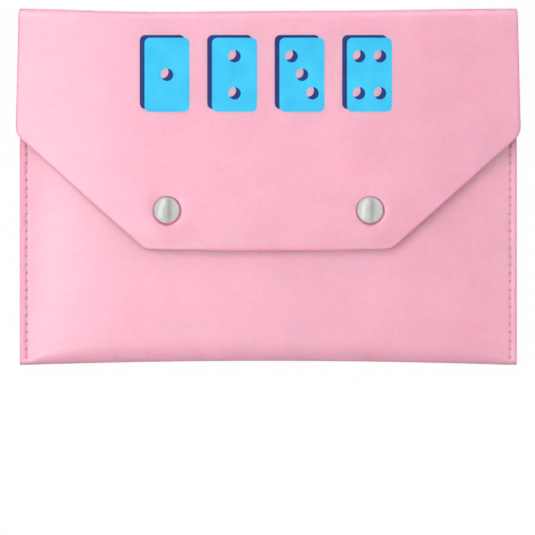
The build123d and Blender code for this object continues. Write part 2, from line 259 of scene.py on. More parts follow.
def near_snap(x, y, inner, outer):
    """1 within the inner radius of a snap's axis, falling to 0 at the outer."""
    radius = np.hypot(np.abs(x) - snap_x, y - snap_y)
    return 1 - ease((radius - inner) / (outer - inner))


# Shape of the pocket


def fill_share(x):
    """Share of the full fill at x: none at the seam margins, all of it in the middle."""
    return 1 - np.clip(np.abs(x) / margin_line, 0, 1) ** fill_steepness


def bottom_y(x):
    """Y of the bottom edge, drawn up in the middle."""
    return corner_y + bottom_draw * (1 - np.clip(np.abs(x) / margin_line, 0, 1) ** 2)


def fold_start_y(x):
    """Y where the front and the back run into the bottom fold."""
    return bottom_y(x) + fold_depth_corner + (fold_depth_middle - fold_depth_corner) * fill_share(x)


def filled_height(x, fill):
    """Height of the front over this much fill."""
    return seam_height + (2 * wall + fill - seam_height) * fill_share(x)


def front_z(x, y):
    """Height of the front's outer face: a curve through its heights at the bottom, halfway and mouth."""
    start = fold_start_y(x)
    share = np.clip((y - start) / (hinge_y - start), 0, 1)
    lowest, halfway, highest = (filled_height(x, fill) for fill in (bottom_fill, middle_fill, mouth_fill))
    control = 2 * halfway - (lowest + highest) / 2
    z = (1 - share) ** 2 * lowest + 2 * share * (1 - share) * control + share**2 * highest
    return z * (1 - bottom_sag * fill_share(x) * np.exp(-(y - bottom_y(x)) / bottom_sag_reach))


# Shape of the fold over the top


def fold_top(x):
    """Height of the fold, and of the flap beside it."""
    drop = (np.clip(np.abs(x) - side_sag_start, 0, None) / (half_width - side_sag_start)) ** side_sag_power
    return fold_height - side_sag * drop


def crest_sag(x):
    """How far the crest of the fold falls short of its corners, most left of the middle."""
    fade = 1 - np.clip(np.abs(x) / half_width, 0, 1) ** crest_dip_fade
    return crest_dip * sum(share * hill(x, centre, reach) for share, centre, reach in crest_dips) * fade


def hinge_line(x):
    """Y of the line between the fold and the flat of the sheet."""
    return hinge_y - crest_sag(x)


def fold_radius(angle):
    """Radius of the fold's section, of unit size, squarer than a circle."""
    across, up = (np.abs(side) ** fold_squareness for side in (np.cos(angle), np.sin(angle)))
    return (across + up) ** (-1 / fold_squareness)


def seam_angle(x):
    """Angle on the fold at which the two halves of the sheet meet, at half the fold's full height."""
    rise = fold_height / fold_top(x) - 1
    return np.arctan(rise / (1 - rise**fold_squareness) ** (1 / fold_squareness))


def crest_lift(x, y):
    """Low ridge along the crest, where the folded sheet springs up."""
    return ridge_height * hill(y, hinge_line(x) + ridge_setback, ridge_reach)


def fold_point(x, angle):
    """Y and Z on the fold's outer face, from -90 degrees at the back to 90 at the flap."""
    y = hinge_line(x) + crest_depth * fold_radius(angle) * np.cos(angle)
    z = fold_top(x) / 2 * (1 + fold_radius(angle) * np.sin(angle))
    return y, z + crest_lift(x, y) * ease((z - fold_height / 2) / ridge_rise)


def fold_half_width(angle):
    """Half the sheet's width round the fold: widest at the flap, and drawn in at the crest."""
    return half_width + fold_overhang * (1 + np.sin(angle)) / 2 - fold_pinch * np.cos(angle) ** 4


# Shape of the flap


def cap_dent(x, y):
    """Share of the dent that the caps press into the flap."""
    return near_snap(x, y, cap_radius + dent_rim, cap_radius + dent_reach)


def flap_z(x, y):
    """Height of the flap's outer face, with the dents under the caps."""
    share = np.clip((hinge_y - y) / (hinge_y - tip_y), 0, None)
    z = fold_top(x) - (middle_droop + side_droop * (x / half_width) ** 2) * share**2
    z = z + crest_lift(x, y)
    z = z - tip_sag * (np.clip(tip_sag_start - y, 0, None) / (tip_sag_start - tip_y)) ** tip_sag_power
    soft = flap_soft_height * waves(x, y, seed=5, count=7, shortest=38, longest=95)
    z = z + soft * (1 - near_snap(x, y, calm_inner, calm_outer)) * ease(share / flap_soft_start)
    z = z + (cap_seat + dish_height - z) * near_snap(x, y, dish_inner, dish_outer)
    return z + (cap_seat - dent_depth - z) * cap_dent(x, y)


def rounded_path(points, radii, steps=12):
    """An open path through these points, with an arc of its own radius at each inner one."""
    path = [np.array(points[0], float)]
    for before, corner, after, radius in zip(points, points[1:], points[2:], radii):
        corner = np.array(corner, float)
        a, b = (np.subtract(end, corner) / np.hypot(*np.subtract(end, corner)) for end in (before, after))
        half = math.acos(a @ b) / 2
        centre = corner + (a + b) / np.hypot(*(a + b)) * radius / math.sin(half)
        start, end = corner + a * radius / math.tan(half), corner + b * radius / math.tan(half)
        first, last = (math.atan2(*(p - centre)[::-1]) for p in (start, end))
        turn = (last - first + math.pi) % math.tau - math.pi
        for i in range(steps + 1):
            angle = first + turn * i / steps
            path.append(centre + radius * np.array([math.cos(angle), math.sin(angle)]))
    path.append(np.array(points[-1], float))
    return np.array(path)


def flap_half_width(y, inset):
    """Half the flap's width at y, with its outline drawn in by inset."""
    slope = (shoulder_half_width - tip_half_width) / (shoulder_y - tip_y)
    slant = inset * math.hypot(1, slope)
    foot = tip_half_width - slant + slope * inset
    corners = [
        (half_width + fold_overhang - inset, hinge_y),
        (shoulder_half_width - inset, shoulder_y + (slant - inset) / slope),
        (foot, tip_y + inset),
        (0, tip_y + inset),
    ]
    path = rounded_path(corners, (shoulder_round, tip_round))[:-1]
    return np.interp(-y, -path[:, 1], path[:, 0])


# The two halves of the sheet as surfaces. v runs along the sheet and s across it, from -1 to 1


def pocket_surface(v, s, inset):
    """The pocket: v is 0 at the mouth, 1 to 2 round the bottom, 3 at the hinge and 4 at the fold's seam."""
    x = s * (half_width - inset) + 0 * v
    start = fold_start_y(x)
    mouth = mouth_y - inset
    front_y = mouth + (start - mouth) * np.clip(v, 0, 1)
    round_bottom = math.pi / 2 - math.pi * np.clip(v - 1, 0, 1)
    back_y = start + (hinge_line(x) - start) * np.clip(v - 2, 0, 1)
    bend = -math.pi / 2 + (seam_angle(s * half_width) + math.pi / 2) * np.clip(v - 3, 0, 1)
    fold_x = s * (fold_half_width(bend) - inset)
    fold_y, fold_z = fold_point(fold_x, bend)
    bottom = start - (start - bottom_y(x)) * np.cos(round_bottom)
    bottom_z = front_z(x, np.minimum(bottom, start)) / 2 * (1 + np.sin(round_bottom))
    x = np.where(v < 3, x, fold_x)
    y = np.select([v < 1, v < 2, v < 3], [front_y, bottom, back_y], fold_y)
    z = np.select([v < 1, v < 2, v < 3], [front_z(x, front_y), bottom_z, 0 * x], fold_z)
    return np.stack([x, y, z], -1)


def flap_surface(v, s, inset):
    """The flap: v is 0 at the seam in the fold, 1 at the hinge and 2 at the tip."""
    start = seam_angle(s * half_width)
    bend = start + (math.pi / 2 - start) * np.clip(v, 0, 1)
    fold_x = s * (fold_half_width(bend) - inset)
    fold_y, fold_z = fold_point(fold_x, bend)
    share = np.clip(v - 1, 0, 1)
    nominal = hinge_y + (tip_y + inset - hinge_y) * share
    x = s * flap_half_width(nominal, inset)
    bow = tip_bow * (1 - (x / tip_half_width) ** 2) * share**tip_bow_power
    y = nominal - crest_sag(x) * (1 - share) - np.clip(bow, 0, None)
    flat = np.stack([x, y, flap_z(x, y)], -1)
    return np.where((v < 1)[..., None], np.stack([fold_x, fold_y, fold_z], -1), flat)


def normals(surface, v, s, inset, step=1e-4):
    """Outward unit normals of a surface, from small steps along it and across it."""
    along = surface(v + step, s, inset) - surface(np.maximum(v - step, 0), s, inset)
    across = surface(v, s + step, inset) - surface(v, s - step, inset)
    out = np.cross(along, across)
    return out / np.linalg.norm(out, axis=-1, keepdims=True)


# Rows and columns of the sheets


def mirrored(values):
    """Columns from -1 to 1 out of those from the middle to one side."""
    return np.concatenate([-values[:0:-1], values])


def margin_steps():
    """Distances in from the last column at the side: close together over the seam, wider over the fill."""
    stitch = half_width - raw_edge - stitch_x
    near = stitch + np.array([-0.8, -0.52, -0.26, 0, 0.26, 0.52, 0.8, 1.15, 1.6, 2.3, 3.4, 5.0, 7.2, 9.8])
    return np.concatenate([[0, 0.3, 0.75, 1.15], near])


def pocket_columns(spacing=1.8, reach=9, gap=4, last=85):
    """Columns of the pocket as shares of its half width, closer past the snaps and at the seams."""
    half = half_width - raw_edge
    snaps = np.arange(snap_x - reach, snap_x + reach + 0.5, spacing)
    inside, outside = np.linspace(0, snaps[0] - gap, 8), np.linspace(snaps[-1] + gap, last, 9)
    return mirrored(np.unique(np.concatenate([inside, snaps, outside, half - margin_steps()])) / half)


def hole_rows(low_y, high_y, steps, gap=0.3):
    """Y of rows between two ends, with these steps after each needle hole."""
    start = first_hole_y - stitch_pitch
    rows = [start + stitch_pitch * i + step for i in range(hole_count + 3) for step in steps]
    return np.array([low_y, *(y for y in rows if low_y + gap < y < high_y - gap), high_y])


def fold_rows():
    """Shares of the fold from its hinge to the seam, with two thin rows at the seam."""
    return np.append(np.linspace(0, 0.97, 17), [0.985, 1.0])


def front_ends(inset):
    """Y of the front's two ends at the side seams."""
    return mouth_y - inset, float(fold_start_y(stitch_x))


def pocket_rows(front_steps, back_steps, bottom_steps=24):
    """Positions v of the pocket's rows, from the mouth to the seam in the fold."""
    mouth, start = front_ends(raw_edge)
    front = (mouth - hole_rows(start, mouth, front_steps)[::-1]) / (mouth - start)
    back = (hole_rows(start, hinge_y, back_steps) - start) / (hinge_y - start)
    bottom = np.linspace(0, 1, bottom_steps + 1)
    return np.concatenate([front, 1 + bottom[1:], 2 + back[1:], 3 + fold_rows()[1:]])


def flap_rows(finest=0.35, coarsest=1.5):
    """Positions v of the flap's rows, from the fold's seam on: closer at the tip, snaps and shoulders."""
    reach = hinge_y - tip_y
    snap = snap_y - tip_y
    shoulder = shoulder_y - tip_y
    parts = [
        np.array([0, 0.3, 0.7, 1.2, 1.9, 2.8, 4.0, 5.4]),
        np.arange(snap - close_reach - 3.3, snap - close_reach - 0.3, 1.0),
        np.arange(snap - close_reach, snap + close_reach, finest),
        np.arange(snap + close_reach + 0.3, snap + close_reach + 3.1, 1.0),
        np.arange(snap + close_reach + 3.7, shoulder - 6, coarsest),
        np.arange(shoulder - 5, shoulder + 5, 0.8),
        np.arange(shoulder + 6, reach - 0.7, coarsest),
    ]
    share = 1 - np.unique(np.concatenate(parts))[::-1] / reach
    return np.concatenate([1 - fold_rows()[::-1], 1 + share])


def flap_columns(finest=0.35, coarsest=0.0115):
    """Columns of the flap as shares of its half width, closer past the snaps and at the edge."""
    half = flap_half_width(snap_y, raw_edge)
    snap = np.arange(snap_x - close_reach, snap_x + close_reach, finest) / half
    inside, outside = np.arange(0, snap[0] - 0.004, coarsest), np.arange(snap[-1] + 0.009, 0.968, coarsest)
    edge = 1 - np.array([0, 0.004, 0.009, 0.015, 0.023])
    return mirrored(np.unique(np.concatenate([inside, snap, outside, edge])))


# Detail of the pocket's outer face


def seam_detail(x, y):
    """How far the side seam lifts or sinks the sheet, and the shares of needle hole and groove there."""
    across = np.abs(x) - stitch_x
    inward = np.clip(-across, 0, None)
    phase = (y - first_hole_y) / stitch_pitch
    along = (phase - np.round(phase)) * stitch_pitch
    sewn = ease((np.minimum(phase, hole_count - 1 - phase) + seam_end) * seam_end_steepness)
    groove = hill(across, 0, groove_reach)
    hole = hill(across, 0, hole_half_width) * hill(along, 0, hole_half_length) * sewn
    pucker = -np.cos(math.tau * phase) * np.exp(-inward / pucker_reach) * (across < pucker_end)
    side = np.where(x < 0, 0, right_shift)
    slow = waves(side, y, seed=11, count=6, shortest=7, longest=31) * np.exp(-((inward / slow_reach) ** 2))
    uneven = 1 + flare_unevenness * waves(side, y, seed=17, count=4, shortest=14, longest=40)
    flare = margin_flare * ease((across - flare_start) / flare_rise) * uneven
    waved = (pucker_height * pucker * sewn + slow_height * slow) * (1 - groove)
    sink = groove_depth * groove * sewn + hole_depth * hole
    return waved + flare - sink, hole, groove * sewn


def pocket_detail(v, point):
    """Height of the detail on the pocket's outer face, with the shares of needle hole and groove."""
    x, y = point[..., 0], point[..., 1]
    mouth, start = front_ends(raw_edge)
    on_front, on_back = v < 1, (v > 2) & (v < 3)
    away = np.where(on_front, 1 - v, v - 2) * (mouth - start)
    height, hole, groove = seam_detail(x, np.where(on_front, mouth - v * (mouth - start), y))
    height = np.where(on_back, np.minimum(height, 0), height)
    keep = (on_front | on_back) * ease(away / seam_detail_fade)
    stud = near_snap(x, y, stud_radius + stud_rim, stud_radius + stud_reach) * on_front
    soft = soft_height * waves(x, y, seed=3, count=8, shortest=30, longest=90) * fill_share(x)
    soft = soft * ease(away / soft_fade) * (1 - stud) * on_front
    return height * keep + soft + (stud_seat - point[..., 2]) * stud, hole * keep, groove * keep


# Meshes


def cut_positions(outer, direction):
    """Where each point lies on the flat sheet: across, and along from the seam in the fold at row 0."""
    steps = np.linalg.norm(np.diff(outer, axis=0), axis=2)
    along = np.concatenate([np.zeros((1, outer.shape[1])), np.cumsum(steps, 0)]) * direction
    return np.stack([outer[..., 0], along, 0 * along], -1)


def boundary(rows, columns):
    """Grid indices round a sheet: down its left side, along the far edge, up the right, along the seam."""
    left = [(r, 0) for r in range(rows)]
    far = [(rows - 1, c) for c in range(1, columns - 1)]
    right = [(r, columns - 1) for r in reversed(range(rows))]
    seam = [(0, c) for c in reversed(range(1, columns - 1))]
    return tuple(np.array(left + far + right + seam).T)


def rim_rings(outer, inner, normal, bulge, steps=6):
    """Rings of points round the cut edge, from outer to inner face. The seam in row 0 is cut flush."""
    loop = boundary(*outer.shape[:2])
    o, i, n = outer[loop], inner[loop], normal[loop]
    turn = np.cross(outer[1, 0] - outer[0, 0], outer[0, 1] - outer[0, 0]) @ normal[0, 0]
    away = np.cross(np.roll(o, -1, 0) - np.roll(o, 1, 0), n) * np.sign(turn)
    at_seam = loop[0] == 0
    corner = at_seam & ((loop[1] == 0) | (loop[1] == outer.shape[1] - 1))
    away[corner] = np.sign(o[corner, :1]) * np.array([1.0, 0, 0])
    away /= np.linalg.norm(away, axis=1, keepdims=True)
    reach = np.where(at_seam & ~corner, 0, bulge)[:, None]
    rings = []
    for step in range(1, steps):
        angle = math.pi / 2 - math.pi * step / steps
        up = math.copysign(abs(math.sin(angle)) ** edge_up_power, math.sin(angle))
        rings.append((o + i) / 2 + (o - i) / 2 * up + away * reach * math.cos(angle) ** edge_out_power)
    return loop, rings


def grid_faces(index):
    """Quads of a grid of vertices."""
    corners = index[:-1, :-1], index[1:, :-1], index[1:, 1:], index[:-1, 1:]
    return np.stack(corners, -1).reshape(-1, 4)


def band_faces(first, second):
    """Quads between two closed loops of vertices."""
    return np.stack([first, np.roll(first, -1), np.roll(second, -1), second], -1)


def linked(name, data):
    """A new object of the scene."""
    made = bpy.data.objects.new(name, data)
    bpy.context.scene.collection.objects.link(made)
    return made


def new_object(name, points, faces, material):
    """A smooth closed object from points in millimetres."""
    mesh = bpy.data.meshes.new(name)
    mesh.from_pydata((np.asarray(points) * MM).tolist(), [], [list(map(int, face)) for face in faces])
    mesh.materials.append(material)
    bm = bmesh.new()
    bm.from_mesh(mesh)
    bmesh.ops.recalc_face_normals(bm, faces=bm.faces)
    bm.to_mesh(mesh)
    bm.free()
    mesh.shade_smooth()
    return linked(name, mesh)


def add_values(made, **values):
    """Stores a number or a vector for each point, which the materials read."""
    for name, value in values.items():
        kind, field = ("FLOAT_VECTOR", "vector") if value.ndim == 2 else ("FLOAT", "value")
        attribute = made.data.attributes.new(name, kind, "POINT")
        attribute.data.foreach_set(field, value.astype(np.float32).ravel())


def sharpen(made, vertices):
    """Keeps the edge through these vertices crisp, so that the sheet's two halves shade as one."""
    on_edge = np.zeros(len(made.data.vertices), bool)
    on_edge[vertices] = True
    ends = np.array([edge.vertices[:] for edge in made.data.edges])
    sharp = on_edge[ends].all(1)
    made.data.attributes.new("sharp_edge", "BOOLEAN", "EDGE").data.foreach_set("value", sharp)


def closed_sheet(name, outer, inner, normal, bulge, material, direction, **shares):
    """A sheet with thickness and a rounded cut edge, whose row 0 is the flush seam in the fold."""
    rows, columns = outer.shape[:2]
    loop, rings = rim_rings(outer, inner, normal, bulge)
    top = np.arange(rows * columns).reshape(rows, columns)
    under = top + top.size
    bands = [2 * top.size + len(loop[0]) * i + np.arange(len(loop[0])) for i in range(len(rings))]
    loops = [top[loop], *bands, under[loop]]
    points = np.concatenate([outer.reshape(-1, 3), inner.reshape(-1, 3), *rings])
    faces = np.concatenate([grid_faces(top), grid_faces(under), *map(band_faces, loops, loops[1:])])
    made = new_object(name, points, faces, material)
    cut = cut_positions(outer, direction) * MM
    add_values(made, cut=np.concatenate([*[cut.reshape(-1, 3)] * 2, *[cut[loop]] * len(rings)]))
    for key, share in shares.items():
        rim = np.full(len(loop[0]) * len(rings), 1.0 if key == "edge" else 0.0)
        add_values(made, **{key: np.concatenate([share.ravel(), share.ravel(), rim])})
    sharpen(made, top[0])
    return made


def sheet_grid(surface, rows, columns, inset):
    """Positions v and s of a sheet's grid, its points and its outward normals."""
    v, s = np.meshgrid(rows, columns, indexing="ij")
    return v, s, surface(v, s, inset), normals(surface, v, s, inset)


# Pieces: the outer sheet and the lining


def bend_with_fold(made, part):
    """Bakes a sheet's placement into its mesh, the same for the pocket's half as for the flap's."""
    if part == "pocket":
        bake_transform(made)
    else:
        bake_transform(made)


def pocket_outer_sheet(material):
    """The outer sheet of the pocket and of the back half of the fold."""
    front_steps, back_steps = (0, 0.24, 0.5, 1.2, 2.2, 2.9, 3.16), (0, 0.3, 1.0, 2.4, 3.1)
    rows = pocket_rows(front_steps, back_steps)[::-1]
    v, s, base, out = sheet_grid(pocket_surface, rows, pocket_columns(), raw_edge)
    height, hole, groove = pocket_detail(v, base)
    outer = base + out * height[..., None]
    from_mouth = np.where(v < 1, mouth_y - base[..., 1], np.inf)
    margin = np.minimum((1 - np.abs(s)) * half_width, from_mouth)
    # the needle holes and, faintly, the seam groove get painted shade; the cut edges their deeper colour,
    # partly painted shade
    made = closed_sheet(
        "pocket_outer_sheet", outer, base - out * shell, out, raw_edge, material, -1,
        edge=1 - ease(margin / edge_band), pinch=np.clip(hole + groove_shade_share * groove, 0, 1),
    )
    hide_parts("pouch_shell", "flap_fold_shell")
    bend_with_fold(made, "pocket")


def flap_outer_sheet(material):
    """The outer sheet of the flap and of the front half of the fold, creased round the caps."""
    v, s, base, out = sheet_grid(flap_surface, flap_rows(), flap_columns(), raw_edge)
    x, y, z = np.moveaxis(base, -1, 0)
    nearest_x = np.where(x < 0, -snap_x, snap_x)
    from_cap = np.hypot(x - nearest_x - crease_shift[0], y - snap_y - crease_shift[1])
    crease = hill(from_cap, cap_radius + crease_rim, crease_reach) * (v > 1)
    dent = cap_dent(x, y) * (v > 1)
    outer = base.copy()
    outer[..., 2] += (cap_seat - dent_depth - z) * dent - crease_depth * crease
    across = (1 - np.abs(s)) * flap_half_width(y, raw_edge) * np.where(y < shoulder_y, slant_share, 1)
    margin = np.minimum(across, y - tip_y)
    # the crease round each cap gets painted shade; the cut edges their deeper colour, partly painted shade
    made = closed_sheet(
        "flap_outer_sheet", outer, base - out * shell, out, raw_edge, material, 1,
        edge=1 - ease(margin / edge_band), pinch=crease,
    )
    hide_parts("flap_shell", "flap_fold_shell")
    bend_with_fold(made, "flap")


def pressed_lining(inner, panel, seat, radius):
    """The lining's inner face on this panel, pressed by the discs of the snaps' lower halves."""
    share = near_snap(inner[..., 0], inner[..., 1], radius + disc_rim, radius + disc_reach) * panel
    inner = inner.copy()
    inner[..., 2] += (seat + disc_gap - inner[..., 2]) * share
    return inner


def pocket_lining_sheet(material):
    """The lining of the pocket and of the back half of the fold."""
    rows = pocket_rows((0, 1.7), (0, 1.7))[::-1]
    v, _, base, out = sheet_grid(pocket_surface, rows, pocket_columns(), lining_inset)
    inner = pressed_lining(base - out * wall, v < 1, post_seat, post_radius)
    outer = base - out * (shell + glue)
    made = closed_sheet("pocket_lining_sheet", outer, inner, out, lining_edge, material, -1)
    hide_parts("pouch_lining", "flap_fold_lining")
    bend_with_fold(made, "pocket")


def flap_lining_sheet(material):
    """The lining of the flap and of the front half of the fold."""
    rows, columns = flap_rows(0.8, 2.2), flap_columns(0.9, 0.018)
    v, _, base, out = sheet_grid(flap_surface, rows, columns, lining_inset)
    inner = pressed_lining(base - out * wall, v > 1, socket_seat, socket_radius)
    outer = base - out * (shell + glue)
    made = closed_sheet("flap_lining_sheet", outer, inner, out, lining_edge, material, 1)
    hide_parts("flap_lining", "flap_fold_lining")
    bend_with_fold(made, "flap")


# Pieces: seam threads


def thread_path(side, front, steps=25):
    """Points along a thread that dips into each hole and is sewn back over two stitches at both ends."""
    last = hole_count - 1
    visits = [2, 1, *range(0, last), last, last - 1, last - 2]
    level = seam_height - needle_sunk if front else bobbin_sunk
    inside = seam_height - thread_dip if front else thread_dip
    points = []
    for k, (hole, following) in enumerate(zip(visits, visits[1:])):
        doubled = min(hole, following) < 2 or max(hole, following) > last - 2
        outward = back_shift[0 if following > hole else 1] * doubled
        for t in np.linspace(0, 1, steps + 1)[:-1]:
            y = first_hole_y + stitch_pitch * (hole + (following - hole) * t)
            rise = float(ease((min(t, 1 - t) - dip_share) / rise_share))
            x = side * (stitch_x + outward * rise) + thread_wander * math.sin(wander_rate * y + k) * rise
            points.append((x, y, inside + (level - inside) * rise))
    return np.array(points)


def plied_thread(name, path, material, sectors=12):
    """A twisted thread along a path."""
    steps = np.linalg.norm(np.diff(path, axis=0), axis=1)
    at = np.concatenate([[0], np.cumsum(steps)])
    along = np.arange(0, at[-1], thread_step)
    centre = np.stack([np.interp(along, at, path[:, i]) for i in range(3)], -1)
    heading = np.gradient(centre, axis=0)
    heading /= np.linalg.norm(heading, axis=1, keepdims=True)
    sideways = np.cross(heading, np.cross([1.0, 0, 0], heading))
    sideways /= np.linalg.norm(sideways, axis=1, keepdims=True)
    upward = np.cross(heading, sideways)
    around = np.linspace(0, math.tau, sectors, endpoint=False)
    lay = math.tau * along[:, None] / ply_lay
    ply = np.abs(np.cos(plies / 2 * (around - lay)))
    radius = thread_radius * (1 - ply_depth + ply_depth * ply * 2) / (1 + ply_depth)
    section = np.cos(around)[:, None] * sideways[:, None] + np.sin(around)[:, None] * upward[:, None]
    points = centre[:, None] + radius[..., None] * section
    index = np.arange(points.shape[0] * points.shape[1]).reshape(points.shape[:2])
    faces = [face for pair in zip(index, index[1:]) for face in band_faces(*pair)]
    return new_object(name, points.reshape(-1, 3), [*faces, index[0], index[-1]], material)


def seam_threads(material):
    """The needle thread on the front of each side seam, and the bobbin thread on its back."""
    for side_name, side in sides.items():
        for kind, front in (("needle", True), ("bobbin", False)):
            made = plied_thread(f"{side_name}_{kind}_thread", thread_path(side, front), material)
            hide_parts(f"{side_name}_seam_{kind}_thread")
            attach(made, "pouch")


# Pieces: the print


def circle(centre, radius, count=40):
    """Points round a circle."""
    angles = np.linspace(0, math.tau, count, endpoint=False)
    return centre + radius * np.stack([np.cos(angles), np.sin(angles)], -1)


def tile_outline(centre, step=1.5):
    """A rounded rectangle, in short steps so that the film follows the sheet."""
    corners = []
    for i, signs in enumerate(((1, 1), (-1, 1), (-1, -1), (1, -1))):
        for angle in np.linspace(i * math.pi / 2, (i + 1) * math.pi / 2, 8):
            turn = tile_round * np.array([math.cos(angle), math.sin(angle)])
            corners.append(centre + tile_corner * signs + turn)
    points = []
    for a, b in zip(corners, corners[1:] + corners[:1]):
        count = max(1, round(math.dist(a, b) / step))
        points += [a + (b - a) * i / count for i in range(count)]
    return np.array(points)


def in_tile(point, centre, pips):
    """Whether a point is inside the tile's outline and outside its pips."""
    past = np.maximum(np.abs(point - centre) - tile_corner, 0)
    return np.hypot(*past) < tile_round and all(math.dist(point, pip) > pip_radius for pip in pips)


def film(loops, inside, centre):
    """Points and faces of a thin printed film on the flap, inside these closed outlines."""
    points, edges = [], []
    for loop in loops:
        first = len(points)
        points += [Vector(p) for p in loop]
        edges += [(first + i, first + (i + 1) % len(loop)) for i in range(len(loop))]
    reach = tile_size / 2 + film_margin
    for x in np.arange(-reach[0], reach[0], film_step):
        points += [Vector(centre + (x, y)) for y in np.arange(-reach[1], reach[1], film_step)]
    found, _, triangles, *_ = geometry.delaunay_2d_cdt(points, edges, [], 0, 1e-5)
    flat = np.array([point[:] for point in found])
    kept = [corners for corners in triangles if inside(flat[list(corners)].mean(0))]
    used, index = np.unique(kept, return_inverse=True)
    flat, faces = flat[used], index.reshape(-1, 3).tolist()
    level = flap_z(flat[:, 0], flat[:, 1])
    points = np.concatenate([np.column_stack([flat, level + lift]) for lift in (print_rise, -print_sunk)])
    ways = {way for face in faces for way in zip(face, face[1:] + face[:1])}
    count = len(flat)
    walls = [[b, a, a + count, b + count] for a, b in ways if (b, a) not in ways]
    return points, faces + [[i + count for i in reversed(face)] for face in faces] + walls


def tile_films(centre, layout):
    """The film of one tile, and of its offset shade where the tile leaves that open."""
    moved = centre + shade_shift
    pips = [centre + pip for pip in layout]
    moved_pips = [pip + shade_shift for pip in pips]
    loops = [tile_outline(centre), *(circle(pip, pip_radius) for pip in pips)]
    moved_loops = [tile_outline(moved), *(circle(pip, pip_radius) for pip in moved_pips)]

    def on_tile(point):
        return in_tile(point, centre, pips)

    def on_shade(point):
        return in_tile(point, moved, moved_pips) and not on_tile(point)

    return film(loops, on_tile, centre), film(loops + moved_loops, on_shade, centre)


def print_layer(name, films, material, node):
    """One piece out of several films, riding on the flap."""
    faces, first = [], 0
    for points, own in films:
        faces += [[first + i for i in face] for face in own]
        first += len(points)
    made = new_object(name, np.concatenate([points for points, _ in films]), faces, material)
    made.data.set_sharp_from_angle(angle=0.7)
    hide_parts(node)
    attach(made, "flap")


def print_layers(blue, navy):
    """Four plain tiles with one to four pips, and the offset shade beside each."""
    middle_y = crest_y - print_setback - tile_size[1] / 2
    layouts = [
        [(0, 0)],
        [(0, pip_rise), (0, -pip_rise)],
        [(-pip_spread, pip_rise), (0, 0), (pip_spread, -pip_rise)],
        [(sx * pip_spread, sy * pip_rise) for sx in (-1, 1) for sy in (-1, 1)],
    ]
    first_x = -tile_pitch * (len(layouts) - 1) / 2
    centres = [np.array([first_x + tile_pitch * i, middle_y]) for i in range(len(layouts))]
    tiles, shades = zip(*map(tile_films, centres, layouts))
    print_layer("tile_print", tiles, blue, "printed_tiles")
    print_layer("tile_print_shade", shades, navy, "printed_tile_shades")


# Materials


def tint(colour):
    """A colour as a node's socket takes it."""
    return (*colour, 1.0)


class Nodes:
    """The node tree of a material or a world, with short calls to add and join nodes."""

    def __init__(self, owner):
        owner.use_nodes = True
        self.owner, self.tree = owner, owner.node_tree
        self.shader = self.tree.nodes.get("Principled BSDF")

    def feed(self, node, key, value):
        """Links a socket, or sets its value."""
        socket = node.inputs[key]
        if isinstance(value, bpy.types.NodeSocket):
            self.tree.links.new(value, socket)
        else:
            socket.default_value = value

    def add(self, kind, inputs=(), output=0, **settings):
        """One output of a new node, which gets its settings and then its inputs."""
        node = self.tree.nodes.new("ShaderNode" + kind)
        for key, value in settings.items():
            setattr(node, key, value)
        for key, value in dict(inputs).items():
            self.feed(node, key, value)
        return node.outputs[output]

    def set(self, **inputs):
        """Feeds the principled shader, with underscores for the spaces in sockets' names."""
        for key, value in inputs.items():
            self.feed(self.shader, key.replace("_", " "), value)

    def show(self, surface):
        """Makes another shader the surface, in place of the principled one."""
        self.tree.links.new(surface, self.tree.nodes["Material Output"].inputs["Surface"])
        self.tree.nodes.remove(self.shader)

    def place(self):
        """Position on the object, in metres."""
        return self.add("TexCoord", output="Object")

    def attribute(self, name, output="Fac"):
        """A value that the mesh stores for each point."""
        return self.add("Attribute", output=output, attribute_name=name)

    def noise(self, vector, scale, detail=2.0, roughness=0.5):
        """Cloudy noise, with scale in clouds a metre."""
        inputs = {"Vector": vector, "Scale": scale, "Detail": detail, "Roughness": roughness}
        return self.add("TexNoise", inputs, "Fac")

    def pebbles(self, vector):
        """Rounded pebbles of leather grain, 0.8 mm apart."""
        return self.add("TexVoronoi", {"Vector": vector, "Scale": 1250.0}, "Distance", feature="SMOOTH_F1")

    def math(self, operation, first, second):
        """One operation on two numbers."""
        return self.add("Math", {0: first, 1: second}, operation=operation)

    def span(self, value, low_in, high_in, low_out, high_out):
        """A value moved from one range to another."""
        sockets = ("Value", "From Min", "From Max", "To Min", "To Max")
        inputs = zip(sockets, (value, low_in, high_in, low_out, high_out))
        return self.add("MapRange", inputs)

    def blend(self, share, first, second):
        """A colour between two."""
        return self.add("Mix", {"Factor": share, 6: first, 7: second}, 2, data_type="RGBA")

    def shades(self, value, low_in, high_in, dark, pale):
        """From dark to pale, as a value goes through a range."""
        return self.blend(self.span(value, low_in, high_in, 0, 1), tint(dark), tint(pale))

    def bump(self, height, distance, strength=1.0, under=None):
        """A normal bent by a height, on top of another one if given."""
        inputs = {"Height": height, "Distance": distance, "Strength": strength}
        if under is not None:
            inputs["Normal"] = under
        return self.add("Bump", inputs)


